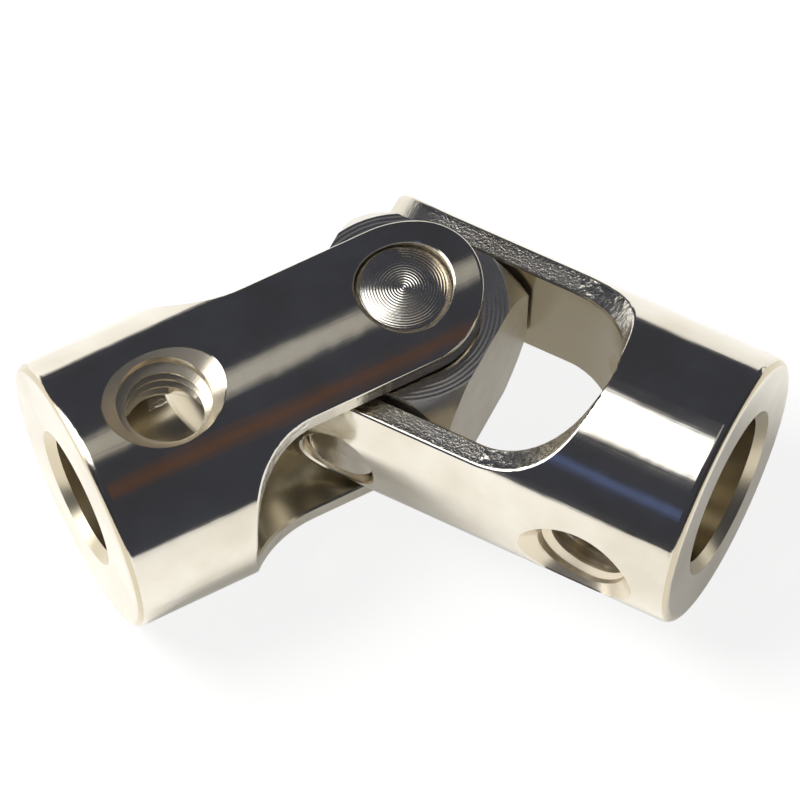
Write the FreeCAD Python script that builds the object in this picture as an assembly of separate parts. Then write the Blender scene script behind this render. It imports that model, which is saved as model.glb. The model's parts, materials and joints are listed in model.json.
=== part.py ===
import FreeCAD, Part
import os
from math import radians, sqrt, tan

# A small universal joint for two shafts: two turned forks, one on each side
# of a centre block, which carries one long cross pin and two short pins.
# The joint centre is where both pin axes meet. Lengths are in millimetres.

# Forks, both cut from the same round bar
hub_diameter = 9.0
fork_reach = 11.5            # joint centre to the end face of a hub
rim_radius = 0.3             # rounding of the outer rim
input_bore_diameter = 4.0    # left fork
output_bore_diameter = 5.0   # right fork
bore_chamfer = 0.3
ear_width = 5.0
ear_thickness = 1.5          # at the crown of an ear
hub_length = 4.1             # end face to the round bottom of the slot
collar_length = 3.9          # end face to where the ears' sides have run out into the hub
shoulder_radius = 3.2        # the ears' sides run out into the hub on this radius
edge_break = 0.12            # rounding of the ears' outer edges
slot_edge_break = 0.07       # the slot's and the pin holes' sharp edges are taken off by this

# Set screw holes, M3, one in each hub in line with an ear
screw_hole_diameter = 3.0
screw_inset = 3.2            # end face to the axis of the hole
countersink_diameter = 4.0   # measured along the hub
countersink_angle = 90.0

# Cross
long_pin_diameter = 3.0
short_pin_diameter = 2.4
pin_clearance = 0.05         # radial, between a pin and the ears that turn on it
pin_recess = 0.3             # pin end below the crown of the ear
pin_chamfer = 0.1
pin_meeting_gap = 0.05       # between a short pin and the side of the long one
block_side_gap = 0.15        # between the block and the inner face of an ear
corner_inset = 0.14          # the block's corners are turned to a ball this far inside the hubs' outside

# Resting pose, lying on its two hubs
long_pin_bend = 54.8         # degrees from straight, about the long pin
short_pin_bend = 2.6         # degrees from straight, about the short pins

hub_radius = hub_diameter / 2
slot_width = hub_diameter - 2 * ear_thickness
slot_depth = fork_reach - hub_length
shoulder_reach = fork_reach - collar_length
screw_reach = fork_reach - screw_inset
long_pin_radius = long_pin_diameter / 2
short_pin_radius = short_pin_diameter / 2
pin_reach = hub_radius - pin_recess
block_half = slot_width / 2 - block_side_gap
beyond = hub_diameter        # how far cutting tools run past the metal
near = 0.01                  # two points closer than this count as the same

ORIGIN = FreeCAD.Vector(0, 0, 0)
X = FreeCAD.Vector(1, 0, 0)
Y = FreeCAD.Vector(0, 1, 0)
Z = FreeCAD.Vector(0, 0, 1)


def point(x, y, z):
    return FreeCAD.Vector(x, y, z)


def line(start, end):
    return Part.makeLine(start, end)


def arc(start, middle, end):
    return Part.Arc(start, middle, end).toShape()


def prism(edges, along):
    """A flat outline of joined edges, pushed along a vector into a solid."""
    return Part.Face(Part.Wire(edges)).extrude(along)


def edges_where(shape, test):
    """The edges of a shape whose points all pass a test, and which aren't straight across Y."""
    found = []
    for edge in shape.Edges:
        first, last = edge.ParameterRange
        points = [edge.valueAt(first + (last - first) * step / 6) for step in range(7)]
        lengthwise = points[-1] - points[0]
        crosswise = edge.Length > near and abs(abs(lengthwise.y) - edge.Length) < near
        if all(test(spot) for spot in points) and not crosswise:
            found.append(edge)
    return found


def turned_blank(bore_diameter):
    """Bar turned about X, bored through, with a round rim and a chamfered bore mouth."""
    bore_radius = bore_diameter / 2
    face_outer = hub_radius - rim_radius
    tip = -ear_width / 2
    slope = rim_radius * sqrt(0.5)
    corners = [
        point(tip, bore_radius, 0),
        point(tip, hub_radius, 0),
        point(fork_reach - rim_radius, hub_radius, 0),
        point(fork_reach, face_outer, 0),
        point(fork_reach, bore_radius + bore_chamfer, 0),
        point(fork_reach - bore_chamfer, bore_radius, 0),
    ]
    rim_middle = point(fork_reach - rim_radius + slope, face_outer + slope, 0)
    profile = [
        line(corners[0], corners[1]),
        line(corners[1], corners[2]),
        arc(corners[2], rim_middle, corners[3]),
        line(corners[3], corners[4]),
        line(corners[4], corners[5]),
        line(corners[5], corners[0]),
    ]
    return Part.Face(Part.Wire(profile)).revolve(ORIGIN, X, 360)


def ear_outline():
    """Seen along the pin: a round end, straight sides and a curved run out to the hub."""
    half = ear_width / 2
    side_end = shoulder_reach - shoulder_radius
    wide = half + shoulder_radius
    bend = shoulder_radius * sqrt(0.5)
    far = fork_reach + beyond
    edges = [arc(point(0, -half, 0), point(-half, 0, 0), point(0, half, 0))]
    for side in (1, -1):
        start = point(0, side * half, 0)
        shoulder_start = point(side_end, side * half, 0)
        shoulder_middle = point(side_end + bend, side * (wide - bend), 0)
        shoulder_end = point(shoulder_reach, side * wide, 0)
        outside = point(shoulder_reach, side * (wide + beyond), 0)
        edges += [
            line(start, shoulder_start),
            arc(shoulder_start, shoulder_middle, shoulder_end),
            line(shoulder_end, outside),
            line(outside, point(far, side * (wide + beyond), 0)),
        ]
    edges.append(line(point(far, wide + beyond, 0), point(far, -wide - beyond, 0)))
    return Part.__sortEdges__(edges)


def slot():
    """The gap between the ears: a flat slot with a full round bottom, cut through along Y."""
    half = slot_width / 2
    centre = slot_depth - half
    mouth = -ear_width / 2 - beyond
    low = point(centre, -beyond, -half)
    high = point(centre, -beyond, half)
    edges = [
        line(point(mouth, -beyond, -half), low),
        arc(low, point(slot_depth, -beyond, 0), high),
        line(high, point(mouth, -beyond, half)),
        line(point(mouth, -beyond, half), point(mouth, -beyond, -half)),
    ]
    return prism(edges, Y * (2 * beyond))


def screw_hole():
    """A countersunk hole for a set screw, from the bore's axis out through the +Z side."""
    foot = point(screw_reach, 0, 0)
    hole = Part.makeCylinder(screw_hole_diameter / 2, hub_diameter, foot, Z)
    mouth = countersink_diameter / 2
    depth = mouth / tan(radians(countersink_angle / 2))
    tip = point(screw_reach, 0, hub_radius - depth)
    return hole.fuse(Part.makeCone(0, 2 * mouth, 2 * depth, tip, Z))


def fork(bore_diameter, pin_radius):
    """One fork, its hub along +X and its pin axis along Z."""
    pin_hole_radius = pin_radius + pin_clearance
    height = 2 * beyond
    outline = prism(ear_outline(), Z * height)
    outline.translate(Z * (-beyond))
    body = turned_blank(bore_diameter).common(outline)
    body = body.makeFillet(edge_break, edges_where(body, on_ear_crown))
    body = body.cut(slot())
    body = body.makeChamfer(slot_edge_break, edges_where(body, on_slot_side))
    body = body.cut(Part.makeCylinder(pin_hole_radius, height, Z * (-beyond), Z))

    def on_hole_mouth(spot):
        on_hole = abs(sqrt(spot.x ** 2 + spot.y ** 2) - pin_hole_radius) < near
        return on_hole and abs(from_axis(spot) - hub_radius) < near

    body = body.makeChamfer(slot_edge_break, edges_where(body, on_hole_mouth))
    return body.cut(screw_hole())


def from_axis(spot):
    """Distance from the hub's axis."""
    return sqrt(spot.y ** 2 + spot.z ** 2)


def on_ear_crown(spot):
    """Where the ears' sides meet the outside of the bar."""
    return abs(from_axis(spot) - hub_radius) < near and spot.x < shoulder_reach + near


def on_slot_side(spot):
    """On the straight walls of the slot, clear of the line where its round bottom starts."""
    on_wall = abs(abs(spot.z) - slot_width / 2) < near
    return on_wall and spot.x < slot_depth - slot_width / 2 + near


def centre_block():
    """A block with turned corners, bored for the long pin along Z and the short pins along Y."""
    side = 2 * block_half
    block = Part.makeBox(slot_width, side, side, point(-slot_width / 2, -block_half, -block_half))
    block = block.common(Part.makeSphere(hub_radius - corner_inset))
    for radius, axis in ((long_pin_radius, Z), (short_pin_radius, Y)):
        block = block.cut(Part.makeCylinder(radius, 2 * beyond, axis * (-beyond), axis))
    return block


def pin(radius, low, high, axis):
    """A round pin along an axis, with both ends chamfered."""
    rod = Part.makeCylinder(radius, high - low, axis * low, axis)
    rims = [edge for edge in rod.Edges if len(edge.Vertexes) == 1]
    return rod.makeChamfer(pin_chamfer, rims)


def turn(angle, axis):
    return FreeCAD.Placement(ORIGIN, FreeCAD.Rotation(axis, angle))


def main():
    os.makedirs("parts", exist_ok=True)
    half_turn = turn(180, Z)
    quarter_roll = turn(90, X)

    # Straight pose: the left fork points along -X with its pin axis along Z,
    # and the right fork along +X with its pin axis along Y.
    left = half_turn
    cross = turn(-long_pin_bend, Z)
    right = cross * turn(-short_pin_bend, Y) * quarter_roll

    # Lying down, both hubs touch the surface, so their axes span a level plane.
    left_axis = left.Rotation.multVec(X)
    right_axis = right.Rotation.multVec(X)
    up = left_axis.cross(right_axis)
    across = right_axis - left_axis
    level = FreeCAD.Rotation(across, up.cross(across), up, "ZXY").inverted()
    lying = FreeCAD.Placement(Z * hub_radius, level)

    inner_end = long_pin_radius + pin_meeting_gap
    pieces = {
        "left_fork": (fork(input_bore_diameter, long_pin_radius), left),
        "right_fork": (fork(output_bore_diameter, short_pin_radius), right),
        "centre_block": (centre_block(), cross),
        "long_pin": (pin(long_pin_radius, -pin_reach, pin_reach, Z), cross),
        "front_short_pin": (pin(short_pin_radius, -pin_reach, -inner_end, Y), cross),
        "rear_short_pin": (pin(short_pin_radius, inner_end, pin_reach, Y), cross),
    }
    for shape, place in pieces.values():
        shape.Placement = lying * place * shape.Placement

    # The origin is on the surface, under the middle of the whole part.
    box = Part.makeCompound([shape for shape, place in pieces.values()]).optimalBoundingBox(False)
    shift = point(-box.Center.x, -box.Center.y, -box.ZMin)
    for name, (shape, place) in pieces.items():
        shape.translate(shift)
        shape.exportStep("parts/" + name + ".step")
        print(name, "valid", shape.isValid(), "solids", len(shape.Solids), "volume", round(shape.Volume, 3))
    print("size", round(box.XLength, 3), round(box.YLength, 3), round(box.ZLength, 3))
    print("joint centre", [round(value, 4) for value in Z * hub_radius + shift])
    for name, axis in (("left", X), ("right", X), ("cross", Z), ("cross", Y)):
        place = {"left": left, "right": right, "cross": cross}[name]
        direction = (lying * place).Rotation.multVec(axis)
        print(name, [round(value, 6) for value in direction])


main()
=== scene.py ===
import json
from math import cos, pi, sin, sqrt

import bpy
from mathutils import Matrix, Vector


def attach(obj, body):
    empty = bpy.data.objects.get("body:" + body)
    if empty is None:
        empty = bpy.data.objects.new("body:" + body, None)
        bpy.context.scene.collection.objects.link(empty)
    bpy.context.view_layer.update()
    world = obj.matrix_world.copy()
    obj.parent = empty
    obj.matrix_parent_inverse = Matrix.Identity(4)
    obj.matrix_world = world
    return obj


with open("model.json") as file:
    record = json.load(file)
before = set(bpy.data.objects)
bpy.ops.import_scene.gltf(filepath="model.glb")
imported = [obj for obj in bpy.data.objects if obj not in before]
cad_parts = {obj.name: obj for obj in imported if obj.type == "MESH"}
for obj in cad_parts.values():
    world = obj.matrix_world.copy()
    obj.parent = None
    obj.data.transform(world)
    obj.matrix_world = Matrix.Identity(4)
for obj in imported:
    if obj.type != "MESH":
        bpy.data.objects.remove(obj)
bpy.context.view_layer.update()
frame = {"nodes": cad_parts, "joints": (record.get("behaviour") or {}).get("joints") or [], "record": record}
mm = 0.001
squareTo = 0.9     # a normal with more than this of an axis faces along it
acrossTo = 0.3     # a normal with less than this of an axis faces across it

# where things are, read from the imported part
joints = {joint["name"]: joint for joint in frame["joints"]}
mounts = {mount["name"]: mount for mount in frame["record"]["mounts"]}
jointCentre = Vector(joints["long_pin_turn"]["pos_m"])
longPinAxis = Vector(joints["long_pin_turn"]["axis"])
shortPinAxis = Vector(joints["short_pin_turn"]["axis"])
leftHubAxis = Vector(mounts["left_bore"]["axis"])
rightHubAxis = Vector(mounts["right_bore"]["axis"])
print("joint centre", [round(value, 5) for value in jointCentre])


def axesOf(alongX, alongZ):  # columns are the piece's own X, Y and Z
    x = alongX.normalized()
    z = (alongZ - x * alongZ.dot(x)).normalized()
    return Matrix((x, z.cross(x), z)).transposed()


leftAxes = axesOf(leftHubAxis, longPinAxis)
rightAxes = axesOf(rightHubAxis, -shortPinAxis)
crossAxes = axesOf(shortPinAxis.cross(longPinAxis), longPinAxis)
shortPinAxes = axesOf(longPinAxis, -shortPinAxis)


def linearFromHex(code):  # sRGB hex to the linear colour that the shaders want
    channels = [int(code[i:i + 2], 16) / 255 for i in (1, 3, 5)]
    return [c / 12.92 if c <= 0.04045 else ((c + 0.055) / 1.055) ** 2.4 for c in channels] + [1.0]


def addNode(tree, kind, inputs=None, **settings):  # a socket in inputs is linked, anything else is set
    node = tree.nodes.new(kind)
    for name, value in settings.items():
        setattr(node, name, value)
    for key, value in (inputs or {}).items():
        if isinstance(value, bpy.types.NodeSocket):
            tree.links.new(value, node.inputs[key])
        else:
            node.inputs[key].default_value = value
    return node


def newMaterial(name):
    material = bpy.data.materials.new(name)
    material.use_nodes = True
    material.node_tree.nodes.clear()
    return material, material.node_tree


def ownCoordinates(tree, axes):  # the piece's own place in mm from the joint centre, and its own normal
    coords = addNode(tree, "ShaderNodeTexCoord")
    back = axes.transposed()
    spin = back.to_euler()
    place = addNode(tree, "ShaderNodeMapping", {
        "Vector": coords.outputs["Object"], "Location": -(back @ jointCentre) / mm,
        "Rotation": spin, "Scale": (1 / mm, 1 / mm, 1 / mm)})
    facing = addNode(tree, "ShaderNodeMapping", {"Vector": coords.outputs["Normal"], "Rotation": spin})
    return place.outputs[0], facing.outputs[0]


# Forks: bright nickel plate on drawn and milled steel. Drawing leaves fine lines along the bar under
# the plate, so reflections stretch into streaks along the hub; the milled slot is a little duller.
forkLook = {
    "plate": "#E9E5DB",
    "plateShade": "#DCD6C8",     # thinner plate, a little warmer
    "shadeScale": 0.45,          # per mm, patches of both about 2 mm wide
    "roughBar": 0.07,
    "roughLines": 0.06,          # added along the drawn lines
    "roughMilled": 0.24,
    "roughHole": 0.24,           # tapped and countersunk, where the plate takes badly
    "hollowShadePlate": "#CFC5AE",     # painted shade of the slot and the bore, over their thinner plate: warmer and darker
    "skinFrom": 4.30,            # mm from the hub's axis, where the bar's own skin starts to show
    "skinAt": 4.46,
    "drawnLineWidth": 0.22,      # mm, between lines; real ones are about 0.05, drawn coarser to show
    "drawnLineStretch": 0.03,    # lines are this much slower along the bar than across it
    "drawnLineSlope": 0.012,
    "peelSize": 1.6,             # mm, slow ripple of the plate
    "peelSlope": 0.010,
    "facingPitch": 0.14,         # mm, rings left by the tool on the end face
    "facingSlope": 0.012,
    "millSize": 0.08,            # mm, chatter left on the ears' sides
    "millSlope": 0.20,
    "shoulderFrom": 4.6,         # mm, where the cutter starts to turn out and chatters more coarsely
    "shoulderSize": 0.28,
    "shoulderSlope": 0.19,
    "hubFrom": 8.0,              # mm, past the shoulders, where nothing was milled
    "screwHoleAt": 8.3,          # mm, joint centre to the set screw's axis
    "screwHoleReach": 2.06,      # mm, the countersink's edge
    "screwHoleFoot": 1.2,        # mm, the hole is only on the side of the hub above this
    "pinHoleReach": 1.62,
    # paler than the slot's painted shade: a painted brightening where the countersink catches the window
    "holePaintedBright": "#E2D8C4",
    "holeScatter": 0.15,         # share of matt light from rough plate in the holes
}


def platedFork(name, axes, look):
    material, tree = newMaterial(name)
    place, facing = ownCoordinates(tree, axes)
    at = addNode(tree, "ShaderNodeSeparateXYZ", {0: place})
    normal = addNode(tree, "ShaderNodeSeparateXYZ", {0: facing})
    across = addNode(tree, "ShaderNodeVectorMath", {0: place, 1: (0, 1, 1)}, operation="MULTIPLY")
    radius = addNode(tree, "ShaderNodeVectorMath", {
        0: across.outputs[0]}, operation="LENGTH").outputs["Value"]
    underSkin = addNode(tree, "ShaderNodeMath", {0: radius, 1: look["skinAt"]}, operation="LESS_THAN")

    # drawn lines run along the bar, so the noise is stretched along X
    stretched = addNode(tree, "ShaderNodeVectorMath", {
        0: place, 1: (look["drawnLineStretch"], 1, 1)}, operation="MULTIPLY")
    lines = addNode(tree, "ShaderNodeTexNoise", {
        "Vector": stretched.outputs[0], "Scale": 1 / look["drawnLineWidth"], "Detail": 3.0, "Roughness": 0.6})
    peel = addNode(tree, "ShaderNodeTexNoise", {
        "Vector": place, "Scale": 1 / look["peelSize"], "Detail": 2.0, "Roughness": 0.45})

    # rings on faces square to the hub
    square = addNode(tree, "ShaderNodeMath", {0: normal.outputs["X"]}, operation="ABSOLUTE")
    onFace = addNode(tree, "ShaderNodeMath", {0: square.outputs[0], 1: squareTo}, operation="GREATER_THAN")
    phase = addNode(tree, "ShaderNodeMath", {
        0: radius, 1: 2 * pi / look["facingPitch"]}, operation="MULTIPLY")
    wave = addNode(tree, "ShaderNodeMath", {0: phase.outputs[0]}, operation="SINE")
    ring = addNode(tree, "ShaderNodeMath", {0: wave.outputs[0], 1: onFace.outputs[0]}, operation="MULTIPLY")

    # the set screw's hole, a round column on the side that the screw enters, and the pin's hole
    fromScrew = addNode(tree, "ShaderNodeVectorMath", {
        0: place, 1: (look["screwHoleAt"], 0, 0)}, operation="SUBTRACT")
    flatFromScrew = addNode(tree, "ShaderNodeVectorMath", {
        0: fromScrew.outputs[0], 1: (1, 1, 0)}, operation="MULTIPLY")
    screwDistance = addNode(tree, "ShaderNodeVectorMath", {0: flatFromScrew.outputs[0]}, operation="LENGTH")
    nearScrew = addNode(tree, "ShaderNodeMath", {
        0: screwDistance.outputs["Value"], 1: look["screwHoleReach"]}, operation="LESS_THAN")
    screwSide = addNode(tree, "ShaderNodeMath", {
        0: at.outputs["Z"], 1: look["screwHoleFoot"]}, operation="GREATER_THAN")
    flatFromPin = addNode(tree, "ShaderNodeVectorMath", {0: place, 1: (1, 1, 0)}, operation="MULTIPLY")
    pinDistance = addNode(tree, "ShaderNodeVectorMath", {0: flatFromPin.outputs[0]}, operation="LENGTH")
    nearPin = addNode(tree, "ShaderNodeMath", {
        0: pinDistance.outputs["Value"], 1: look["pinHoleReach"]}, operation="LESS_THAN")
    nearHole = addNode(tree, "ShaderNodeMath", {
        0: nearScrew.outputs[0], 1: screwSide.outputs[0], 2: nearPin.outputs[0]},
        operation="MULTIPLY_ADD", use_clamp=True)
    inHole = addNode(tree, "ShaderNodeMath", {
        0: nearHole.outputs[0], 1: underSkin.outputs[0]}, operation="MULTIPLY").outputs[0]

    # chatter on the ears' sides and the shoulders, which face neither the pin nor the end
    upright = addNode(tree, "ShaderNodeMath", {0: normal.outputs["Z"]}, operation="ABSOLUTE")
    sideways = addNode(tree, "ShaderNodeMath", {0: upright.outputs[0], 1: acrossTo}, operation="LESS_THAN")
    beforeHub = addNode(tree, "ShaderNodeMath", {
        0: at.outputs["X"], 1: look["hubFrom"]}, operation="LESS_THAN")
    onSide = addNode(tree, "ShaderNodeMath", {
        0: sideways.outputs[0], 1: beforeHub.outputs[0]}, operation="MULTIPLY")
    milled = addNode(tree, "ShaderNodeMath", {
        0: onSide.outputs[0], 1: underSkin.outputs[0]}, operation="MULTIPLY")
    chatter = addNode(tree, "ShaderNodeTexNoise", {
        "Vector": place, "Scale": 1 / look["millSize"], "Detail": 2.0, "Roughness": 0.6})
    chatterHigh = addNode(tree, "ShaderNodeMath", {
        0: chatter.outputs["Fac"], 1: look["millSlope"] * look["millSize"] * mm}, operation="MULTIPLY")
    coarse = addNode(tree, "ShaderNodeTexNoise", {
        "Vector": place, "Scale": 1 / look["shoulderSize"], "Detail": 1.0})
    coarseHigh = addNode(tree, "ShaderNodeMath", {
        0: coarse.outputs["Fac"], 1: look["shoulderSlope"] * look["shoulderSize"] * mm}, operation="MULTIPLY")
    onShoulder = addNode(tree, "ShaderNodeMath", {
        0: at.outputs["X"], 1: look["shoulderFrom"]}, operation="GREATER_THAN")
    bothHigh = addNode(tree, "ShaderNodeMath", {
        0: coarseHigh.outputs[0], 1: onShoulder.outputs[0], 2: chatterHigh.outputs[0]},
        operation="MULTIPLY_ADD")
    milledHigh = addNode(tree, "ShaderNodeMath", {
        0: bothHigh.outputs[0], 1: milled.outputs[0]}, operation="MULTIPLY")

    # drawn lines are left only on the bar's skin; the rest was milled, bored or faced
    offFace = addNode(tree, "ShaderNodeMath", {0: 1.0, 1: onFace.outputs[0]}, operation="SUBTRACT")
    outside = addNode(tree, "ShaderNodeMapRange", {
        "Value": radius, "From Min": look["skinFrom"], "From Max": look["skinAt"]})
    skin = addNode(tree, "ShaderNodeMath", {
        0: outside.outputs[0], 1: offFace.outputs[0]}, operation="MULTIPLY").outputs[0]
    linesHigh = addNode(tree, "ShaderNodeMath", {
        0: lines.outputs["Fac"], 1: look["drawnLineSlope"] * look["drawnLineWidth"] * mm},
        operation="MULTIPLY")
    skinHigh = addNode(tree, "ShaderNodeMath", {0: linesHigh.outputs[0], 1: skin}, operation="MULTIPLY")
    peelHigh = addNode(tree, "ShaderNodeMath", {
        0: peel.outputs["Fac"], 1: look["peelSlope"] * look["peelSize"] * mm, 2: skinHigh.outputs[0]},
        operation="MULTIPLY_ADD")
    sideHigh = addNode(tree, "ShaderNodeMath", {
        0: peelHigh.outputs[0], 1: milledHigh.outputs[0]}, operation="ADD")
    high = addNode(tree, "ShaderNodeMath", {
        0: ring.outputs[0], 1: look["facingSlope"] * look["facingPitch"] / (2 * pi) * mm,
        2: sideHigh.outputs[0]}, operation="MULTIPLY_ADD")
    bump = addNode(tree, "ShaderNodeBump", {"Strength": 1.0, "Distance": 1.0, "Height": high.outputs[0]})

    # the skin is smoothest, the holes are roughest
    skinRough = addNode(tree, "ShaderNodeMath", {
        0: lines.outputs["Fac"], 1: look["roughLines"], 2: look["roughBar"]}, operation="MULTIPLY_ADD")
    wallRough = addNode(tree, "ShaderNodeMix", {0: skin, 2: look["roughMilled"], 3: skinRough.outputs[0]})
    rough = addNode(tree, "ShaderNodeMix", {0: inHole, 2: wallRough.outputs[0], 3: look["roughHole"]})

    # the skin and the milled sides are brightest; bores and the slot's walls are darker and warmer, painted
    # shade of the hollows over their thinner plate
    patch = addNode(tree, "ShaderNodeTexNoise", {"Vector": place, "Scale": look["shadeScale"], "Detail": 3.0})
    tone = addNode(tree, "ShaderNodeMapRange", {
        "Value": patch.outputs["Fac"], "From Min": 0.35, "From Max": 0.65})
    colour = addNode(tree, "ShaderNodeMix", {
        0: tone.outputs[0], 6: linearFromHex(look["plate"]), 7: linearFromHex(look["plateShade"])},
        data_type="RGBA")
    inward = addNode(tree, "ShaderNodeMath", {
        0: offFace.outputs[0], 1: underSkin.outputs[0]}, operation="MULTIPLY")
    inside = addNode(tree, "ShaderNodeMath", {
        0: inward.outputs[0], 1: milled.outputs[0]}, operation="SUBTRACT", use_clamp=True)
    hollowShaded = addNode(tree, "ShaderNodeMix", {
        0: inside.outputs[0], 6: colour.outputs[2], 7: linearFromHex(look["hollowShadePlate"])}, data_type="RGBA")
    # the holes are left paler, a painted brightening of the lit countersink
    paler = addNode(tree, "ShaderNodeMix", {
        0: inHole, 6: hollowShaded.outputs[2], 7: linearFromHex(look["holePaintedBright"])}, data_type="RGBA")
    metallic = addNode(tree, "ShaderNodeMath", {
        0: inHole, 1: -look["holeScatter"], 2: 1.0}, operation="MULTIPLY_ADD")
    shader = addNode(tree, "ShaderNodeBsdfPrincipled", {
        "Base Color": paler.outputs[2], "Metallic": metallic.outputs[0], "Roughness": rough.outputs[0],
        "Normal": bump.outputs[0]})
    addNode(tree, "ShaderNodeOutputMaterial", {"Surface": shader.outputs[0]})
    return material


leftPlate = platedFork("bright nickel on drawn bar, left fork", leftAxes, forkLook)
rightPlate = platedFork("bright nickel on drawn bar, right fork", rightAxes, forkLook)
print("forks plated")

# Pins: the same plate on turned ends. The parting tool leaves rings that glint one by one, and the
# long pin's end is rounded off a little towards its rim.
longPinLook = {
    "plate": "#EBE7DE",
    "plateShade": "#DED8CB",
    "roughEnd": 0.15,
    "roughSide": 0.15,
    "ringPitch": 0.09,           # mm
    "ringSlope": 0.26,
    "ringWander": 0.06,          # mm, how far the rings stray from round
    "wanderScale": 1.2,          # per mm, also the patches of plate and shade
    "crownFrom": 0.30,           # mm, where the end starts to round off towards its rim
    "crownFall": 0.19,           # mm per mm squared
    "grainSize": 0.33,           # mm
    "grainScale": 3.0,           # per mm
    "grainSlope": 0.02,
    "grainRough": 0.02,
}
shortPinLook = dict(longPinLook, ringSlope=0.08, crownFrom=9.0)     # flat ends with weaker rings

# Block: plated steel too, milled on its sides and faced on a lathe. The coarse rings of its faces stay
# faint, and its sides have a satin gleam.
# its plate is paler than the pins': a painted brightening of its sides, which mirror the shaded floor
blockLook = dict(
    longPinLook, plate="#F5F2EB", plateShade="#ECE8DF", ringSlope=0.045, ringPitch=0.14, crownFrom=9.0,
    grainSlope=0.0, roughEnd=0.13, roughSide=0.38)


def platedTurned(name, axes, look):
    material, tree = newMaterial(name)
    place, facing = ownCoordinates(tree, axes)
    normal = addNode(tree, "ShaderNodeSeparateXYZ", {0: facing})
    flat = addNode(tree, "ShaderNodeVectorMath", {0: place, 1: (1, 1, 0)}, operation="MULTIPLY")
    radius = addNode(tree, "ShaderNodeVectorMath", {0: flat.outputs[0]}, operation="LENGTH").outputs["Value"]
    square = addNode(tree, "ShaderNodeMath", {0: normal.outputs["Z"]}, operation="ABSOLUTE")
    onEnd = addNode(tree, "ShaderNodeMath", {0: square.outputs[0], 1: squareTo}, operation="GREATER_THAN")

    # rings on the ends, not quite round
    wander = addNode(tree, "ShaderNodeTexNoise", {
        "Vector": place, "Scale": look["wanderScale"], "Detail": 2.0})
    path = addNode(tree, "ShaderNodeMath", {
        0: wander.outputs["Fac"], 1: look["ringWander"], 2: radius}, operation="MULTIPLY_ADD")
    phase = addNode(tree, "ShaderNodeMath", {
        0: path.outputs[0], 1: 2 * pi / look["ringPitch"]}, operation="MULTIPLY")
    wave = addNode(tree, "ShaderNodeMath", {0: phase.outputs[0]}, operation="SINE")
    ring = addNode(tree, "ShaderNodeMath", {0: wave.outputs[0], 1: onEnd.outputs[0]}, operation="MULTIPLY")
    grain = addNode(tree, "ShaderNodeTexNoise", {"Vector": place, "Scale": look["grainScale"], "Detail": 3.0})
    grainHigh = addNode(tree, "ShaderNodeMath", {
        0: grain.outputs["Fac"], 1: look["grainSlope"] * look["grainSize"] * mm}, operation="MULTIPLY")
    ringHigh = addNode(tree, "ShaderNodeMath", {
        0: ring.outputs[0], 1: look["ringSlope"] * look["ringPitch"] / (2 * pi) * mm,
        2: grainHigh.outputs[0]}, operation="MULTIPLY_ADD")

    # the crown falls with the square of the way out
    pastCrown = addNode(tree, "ShaderNodeMath", {0: radius, 1: look["crownFrom"]}, operation="SUBTRACT")
    outer = addNode(tree, "ShaderNodeMath", {0: pastCrown.outputs[0], 1: 0.0}, operation="MAXIMUM")
    squared = addNode(tree, "ShaderNodeMath", {
        0: outer.outputs[0], 1: outer.outputs[0]}, operation="MULTIPLY")
    fallen = addNode(tree, "ShaderNodeMath", {
        0: squared.outputs[0], 1: onEnd.outputs[0]}, operation="MULTIPLY")
    high = addNode(tree, "ShaderNodeMath", {
        0: fallen.outputs[0], 1: -look["crownFall"] * mm, 2: ringHigh.outputs[0]}, operation="MULTIPLY_ADD")
    bump = addNode(tree, "ShaderNodeBump", {"Strength": 1.0, "Distance": 1.0, "Height": high.outputs[0]})

    evenRough = addNode(tree, "ShaderNodeMath", {
        0: onEnd.outputs[0], 1: look["roughEnd"] - look["roughSide"], 2: look["roughSide"]},
        operation="MULTIPLY_ADD")
    rough = addNode(tree, "ShaderNodeMath", {
        0: grain.outputs["Fac"], 1: look["grainRough"], 2: evenRough.outputs[0]}, operation="MULTIPLY_ADD")
    tone = addNode(tree, "ShaderNodeMapRange", {
        "Value": wander.outputs["Fac"], "From Min": 0.3, "From Max": 0.7})
    colour = addNode(tree, "ShaderNodeMix", {
        0: tone.outputs[0], 6: linearFromHex(look["plate"]), 7: linearFromHex(look["plateShade"])},
        data_type="RGBA")
    shader = addNode(tree, "ShaderNodeBsdfPrincipled", {
        "Base Color": colour.outputs[2], "Metallic": 1.0, "Roughness": rough.outputs[0],
        "Normal": bump.outputs[0]})
    addNode(tree, "ShaderNodeOutputMaterial", {"Surface": shader.outputs[0]})
    return material


longPinPlate = platedTurned("nickel plated turned pin, long", crossAxes, longPinLook)
shortPinPlate = platedTurned("nickel plated turned pins, short", shortPinAxes, shortPinLook)
blockPlate = platedTurned("nickel plated milled block", crossAxes, blockLook)

for node, material in {
    "left_fork": leftPlate, "right_fork": rightPlate, "centre_block": blockPlate,
    "long_pin": longPinPlate, "front_short_pin": shortPinPlate, "rear_short_pin": shortPinPlate,
}.items():
    for slot in frame["nodes"][node].material_slots:
        slot.material = material
print("materials on", len(frame["nodes"]), "pieces")

# Threads in the set screw holes: M3, one ridge wound round the wall, under the forks' own plate
thread = {
    "pitch": 0.5,
    "rootRadius": 1.5,
    "crestRadius": 1.24,
    "rootWidth": 0.44,
    "crestWidth": 0.08,
    "rootSink": 0.02,            # mm, the ridge's foot inside the wall
    "endSink": 0.01,             # mm, its crest where it has run out
    "runOut": 0.15,              # mm, over which it runs out at the bore and at the countersink
    "mouth": 3.8,                # mm from the hub's axis, where the countersink starts
    "holeReach": 8.3,            # mm, joint centre to the hole's axis
    "steps": 72,                 # per turn
    "boreRadius": {"left_fork": 2.0, "right_fork": 2.5},     # mm
}


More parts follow.
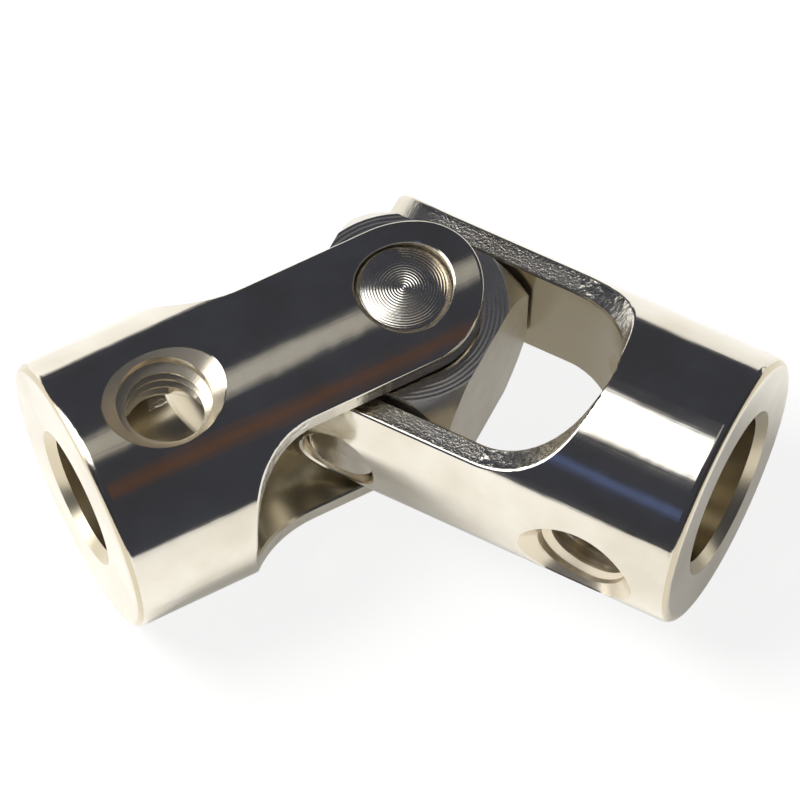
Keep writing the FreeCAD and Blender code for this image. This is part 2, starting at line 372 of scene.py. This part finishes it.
def threadRidge(name, axes, body, material):
    pitch, rootRadius, steps = thread["pitch"], thread["rootRadius"], thread["steps"]
    boreRadius = thread["boreRadius"][body]
    lowest = sqrt(boreRadius ** 2 - rootRadius ** 2) if boreRadius > rootRadius else 0
    count = int((thread["mouth"] - lowest + pitch) / pitch * steps)
    foot = Vector((thread["holeReach"], 0, 0))
    vertices = []
    faces = []
    for step in range(count + 1):
        turn = 2 * pi * step / steps
        height = lowest - pitch / 2 + pitch * step / steps
        wallStart = sqrt(max(boreRadius ** 2 - (rootRadius * sin(turn)) ** 2, 0))
        room = min(height - wallStart - thread["rootWidth"] / 2, thread["mouth"] - height)
        grown = max(0.0, min(1.0, room / thread["runOut"]))
        sunkRadius = rootRadius + thread["endSink"]
        crest = sunkRadius - (sunkRadius - thread["crestRadius"]) * grown
        out = Vector((cos(turn), sin(turn), 0))
        for radius, rise in (
            (rootRadius + thread["rootSink"], -thread["rootWidth"] / 2 * grown),
            (crest, -thread["crestWidth"] / 2 * grown),
            (crest, thread["crestWidth"] / 2 * grown),
            (rootRadius + thread["rootSink"], thread["rootWidth"] / 2 * grown),
        ):
            corner = foot + out * radius + Vector((0, 0, height + rise))
            vertices.append(jointCentre + axes @ corner * mm)
        if step:
            first = 4 * step
            for side in range(3):
                faces.append((first - 4 + side, first + side, first + side + 1, first - 3 + side))
    mesh = bpy.data.meshes.new(name)
    mesh.from_pydata(vertices, [], faces)
    mesh.update()
    ridge = bpy.data.objects.new(name, mesh)
    bpy.context.scene.collection.objects.link(ridge)
    mesh.materials.append(material)
    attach(ridge, body)


threadRidge("left_screw_thread", leftAxes, "left_fork", leftPlate)
threadRidge("right_screw_thread", rightAxes, "right_fork", rightPlate)
print("threads wound")

# Floor: uncoated white paper, matt, so the part's shadow lies soft on it. The camera sees it washed out
# almost to white; the metal sees it lamp-lit with a painted glow added, fading to a painted dark room beyond.
roomDark = "#3F414A"
floorLook = {
    "paper": "#F6F4F0",
    "paintedPoolGlow": "#FAF8F4",      # painted glow over the lit pool, seen only by the metal
    "paintedPoolShare": 0.26,
    "washedShare": 0.86,             # of plain white over the paper, for the camera
    "poolFrom": 0.08,                # m, where the lit pool starts to fade
    "poolTo": 0.32,
    "halfSize": 3.0,                 # m
    "below": 0.00002,                # m, clear of the hubs
}


def makeFloor():
    size = floorLook["halfSize"]
    mesh = bpy.data.meshes.new("floor")
    corners = [(-size, -size, 0), (size, -size, 0), (size, size, 0), (-size, size, 0)]
    mesh.from_pydata(corners, [], [(0, 1, 2, 3)])
    floor = bpy.data.objects.new("floor", mesh)
    floor.location.z = -floorLook["below"]
    bpy.context.scene.collection.objects.link(floor)
    material, tree = newMaterial("pale paper floor")
    rays = addNode(tree, "ShaderNodeLightPath")
    coords = addNode(tree, "ShaderNodeTexCoord")
    away = addNode(tree, "ShaderNodeVectorMath", {0: coords.outputs["Object"]}, operation="LENGTH")
    paper = addNode(tree, "ShaderNodeBsdfDiffuse", {"Color": linearFromHex(floorLook["paper"])})
    white = addNode(tree, "ShaderNodeEmission", {"Color": (1, 1, 1, 1), "Strength": 1.0})
    # painted glow over the lit pool, for the metal's rays only
    poolGlowPainted = addNode(tree, "ShaderNodeEmission", {"Color": linearFromHex(floorLook["paintedPoolGlow"])})
    # painted dark room on the far floor, as the metal sees it
    dark = addNode(tree, "ShaderNodeEmission", {"Color": linearFromHex(roomDark)})
    washed = addNode(tree, "ShaderNodeMath", {
        0: rays.outputs["Is Camera Ray"], 1: floorLook["washedShare"]}, operation="MULTIPLY")
    glint = addNode(tree, "ShaderNodeMath", {
        0: rays.outputs["Is Glossy Ray"], 1: floorLook["paintedPoolShare"]}, operation="MULTIPLY")
    pool = addNode(tree, "ShaderNodeMixShader", {
        0: glint.outputs[0], 1: paper.outputs[0], 2: poolGlowPainted.outputs[0]})
    lit = addNode(tree, "ShaderNodeMixShader", {
        0: washed.outputs[0], 1: pool.outputs[0], 2: white.outputs[0]})
    fade = addNode(tree, "ShaderNodeMapRange", {
        "Value": away.outputs["Value"], "From Min": floorLook["poolFrom"], "From Max": floorLook["poolTo"]},
        interpolation_type="SMOOTHSTEP")
    beyond = addNode(tree, "ShaderNodeMath", {
        0: fade.outputs[0], 1: rays.outputs["Is Glossy Ray"]}, operation="MULTIPLY")
    mixed = addNode(tree, "ShaderNodeMixShader", {
        0: beyond.outputs[0], 1: lit.outputs[0], 2: dark.outputs[0]})
    addNode(tree, "ShaderNodeOutputMaterial", {"Surface": mixed.outputs[0]})
    mesh.materials.append(material)


# Walls: dark painted studio, seen only in the metal as the broad dark bands, with a bright window and a
# pale patch of ceiling that make the white bands. Places are the x and y of a direction from the joint.
wallLook = {
    "radius": 0.6,                   # m
    "tints": (                       # colour, direction, spread
        ("#5E463A", (0.40, -0.42, 0.82), 0.17),
        ("#57648C", (-0.55, -0.66, 0.52), 0.13),
    ),
    "windowAt": (-0.62, 0.0),
    "windowSize": (0.62, 0.34),
    "windowSoft": 0.15,
    "windowGlow": 2.8,
    "paleAt": (0.10, 0.13),
    "paleSize": (0.10, 0.20),
    "paleSoft": 0.55,
    "paleGlow": 0.44,
    "paleLight": (1, 0.97, 0.9, 1),  # linear, a little warm
}


def softPatch(tree, direction, at, size, soft):  # 1 inside a soft-edged patch of the ceiling, 0 outside
    offset = addNode(tree, "ShaderNodeVectorMath", {0: direction, 1: (*at, 0)}, operation="SUBTRACT")
    share = addNode(tree, "ShaderNodeVectorMath", {
        0: offset.outputs[0], 1: (1 / size[0], 1 / size[1], 0)}, operation="MULTIPLY")
    away = addNode(tree, "ShaderNodeVectorMath", {0: share.outputs[0]}, operation="LENGTH")
    return addNode(tree, "ShaderNodeMapRange", {
        "Value": away.outputs["Value"], "From Min": 1 + soft, "From Max": 1 - soft,
        "To Min": 0.0, "To Max": 1.0}, interpolation_type="SMOOTHSTEP").outputs[0]


def makeWalls():
    bpy.ops.mesh.primitive_uv_sphere_add(
        segments=64, ring_count=32, radius=wallLook["radius"], location=jointCentre)
    walls = bpy.context.object
    walls.name = "dark_walls"
    for polygon in walls.data.polygons:
        polygon.use_smooth = True
    material, tree = newMaterial("dark studio walls with a window overhead")
    coords = addNode(tree, "ShaderNodeTexCoord")
    unit = addNode(tree, "ShaderNodeVectorMath", {
        0: coords.outputs["Object"]}, operation="NORMALIZE").outputs[0]
    colour = linearFromHex(roomDark)
    for tint, centre, spread in wallLook["tints"]:
        apart = addNode(tree, "ShaderNodeVectorMath", {0: unit, 1: centre}, operation="DISTANCE")
        near = addNode(tree, "ShaderNodeMapRange", {
            "Value": apart.outputs["Value"], "From Min": spread, "From Max": 0.0},
            interpolation_type="SMOOTHSTEP")
        colour = addNode(tree, "ShaderNodeMix", {
            0: near.outputs[0], 6: colour, 7: linearFromHex(tint)}, data_type="RGBA").outputs[2]
    shade = addNode(tree, "ShaderNodeEmission", {"Color": colour, "Strength": 1.0})
    pale = addNode(tree, "ShaderNodeEmission", {
        "Color": wallLook["paleLight"], "Strength": wallLook["paleGlow"]})
    glow = addNode(tree, "ShaderNodeEmission", {"Color": (1, 1, 1, 1), "Strength": wallLook["windowGlow"]})
    inPale = softPatch(tree, unit, wallLook["paleAt"], wallLook["paleSize"], wallLook["paleSoft"])
    inWindow = softPatch(tree, unit, wallLook["windowAt"], wallLook["windowSize"], wallLook["windowSoft"])
    withPale = addNode(tree, "ShaderNodeMixShader", {0: inPale, 1: shade.outputs[0], 2: pale.outputs[0]})
    mixed = addNode(tree, "ShaderNodeMixShader", {0: inWindow, 1: withPale.outputs[0], 2: glow.outputs[0]})
    addNode(tree, "ShaderNodeOutputMaterial", {"Surface": mixed.outputs[0]})
    walls.data.materials.append(material)
    walls.visible_camera = walls.visible_diffuse = walls.visible_shadow = False
    walls.visible_transmission = walls.visible_volume_scatter = False


# Light: a soft lamp at the window's place, and an even glow of the room
lightLook = {
    "ambient": 0.25,
    "lampAt": (-0.55, 0.06, 0.83),   # direction from the joint
    "lampAway": 0.35,                # m
    "lampPower": 1.65,               # W
    "lampSize": 0.16,                # m
}


def makeWorld():
    world = bpy.data.worlds.new("studio")
    bpy.context.scene.world = world
    world.use_nodes = True
    tree = world.node_tree
    tree.nodes.clear()
    rays = addNode(tree, "ShaderNodeLightPath")
    direct = addNode(tree, "ShaderNodeMath", {
        0: rays.outputs["Is Camera Ray"], 1: rays.outputs["Is Glossy Ray"]}, operation="MAXIMUM")
    seen = addNode(tree, "ShaderNodeMath", {
        0: direct.outputs[0], 1: rays.outputs["Is Transmission Ray"]}, operation="MAXIMUM")
    soft = addNode(tree, "ShaderNodeBackground", {"Color": (1, 1, 1, 1), "Strength": lightLook["ambient"]})
    white = addNode(tree, "ShaderNodeBackground", {"Color": (1, 1, 1, 1), "Strength": 1.0})
    mixed = addNode(tree, "ShaderNodeMixShader", {
        0: seen.outputs[0], 1: soft.outputs[0], 2: white.outputs[0]})
    addNode(tree, "ShaderNodeOutputWorld", {"Surface": mixed.outputs[0]})


def makeLamp():
    data = bpy.data.lights.new("window_light", "AREA")
    data.energy = lightLook["lampPower"]
    data.size = lightLook["lampSize"]
    lamp = bpy.data.objects.new("window_light", data)
    toward = Vector(lightLook["lampAt"]).normalized()
    lamp.location = jointCentre + toward * lightLook["lampAway"]
    lamp.rotation_mode = "QUATERNION"
    lamp.rotation_quaternion = toward.to_track_quat("Z", "Y")
    lamp.visible_glossy = False
    bpy.context.scene.collection.objects.link(lamp)


makeFloor()
makeWalls()
makeWorld()
makeLamp()
bpy.context.scene.view_settings.view_transform = "Standard"
print("studio lit")

# Camera: seen from above the open side of the bend
view = {
    "toCamera": (0.0135, -0.4860, 0.8739),
    "right": (0.99988, -0.0005, -0.0158),
    "distance": 188.3,       # mm from the joint centre
    "pixelsPerMm": 31.584,   # at the joint centre
    "frameWide": 800,        # pixels
    "centreAt": (402.26, 347.51),
    "sensorWide": 36,        # mm
    "clip": (0.01, 20),      # m
}
data = bpy.data.cameras.new("camera")
data.sensor_width = view["sensorWide"]
data.lens = view["pixelsPerMm"] * view["distance"] * view["sensorWide"] / view["frameWide"]
data.clip_start, data.clip_end = view["clip"]
camera = bpy.data.objects.new("camera", data)
bpy.context.scene.collection.objects.link(camera)
back = Vector(view["toCamera"]).normalized()
right = Vector(view["right"])
right = (right - back * right.dot(back)).normalized()
up = back.cross(right)
eye = jointCentre + back * view["distance"] * mm

# the lens looks a little past the joint, so that the joint's centre lands at its place in the frame
middle = view["frameWide"] / 2
offset = right * (view["centreAt"][0] - middle) - up * (view["centreAt"][1] - middle)
aim = jointCentre - offset / view["pixelsPerMm"] * mm
toward = (eye - aim).normalized()
side = (right - toward * right.dot(toward)).normalized()
camera.matrix_world = Matrix((side, toward.cross(side), toward)).transposed().to_4x4()
camera.location = eye
bpy.context.scene.camera = camera
print("camera at", [round(value, 4) for value in eye])
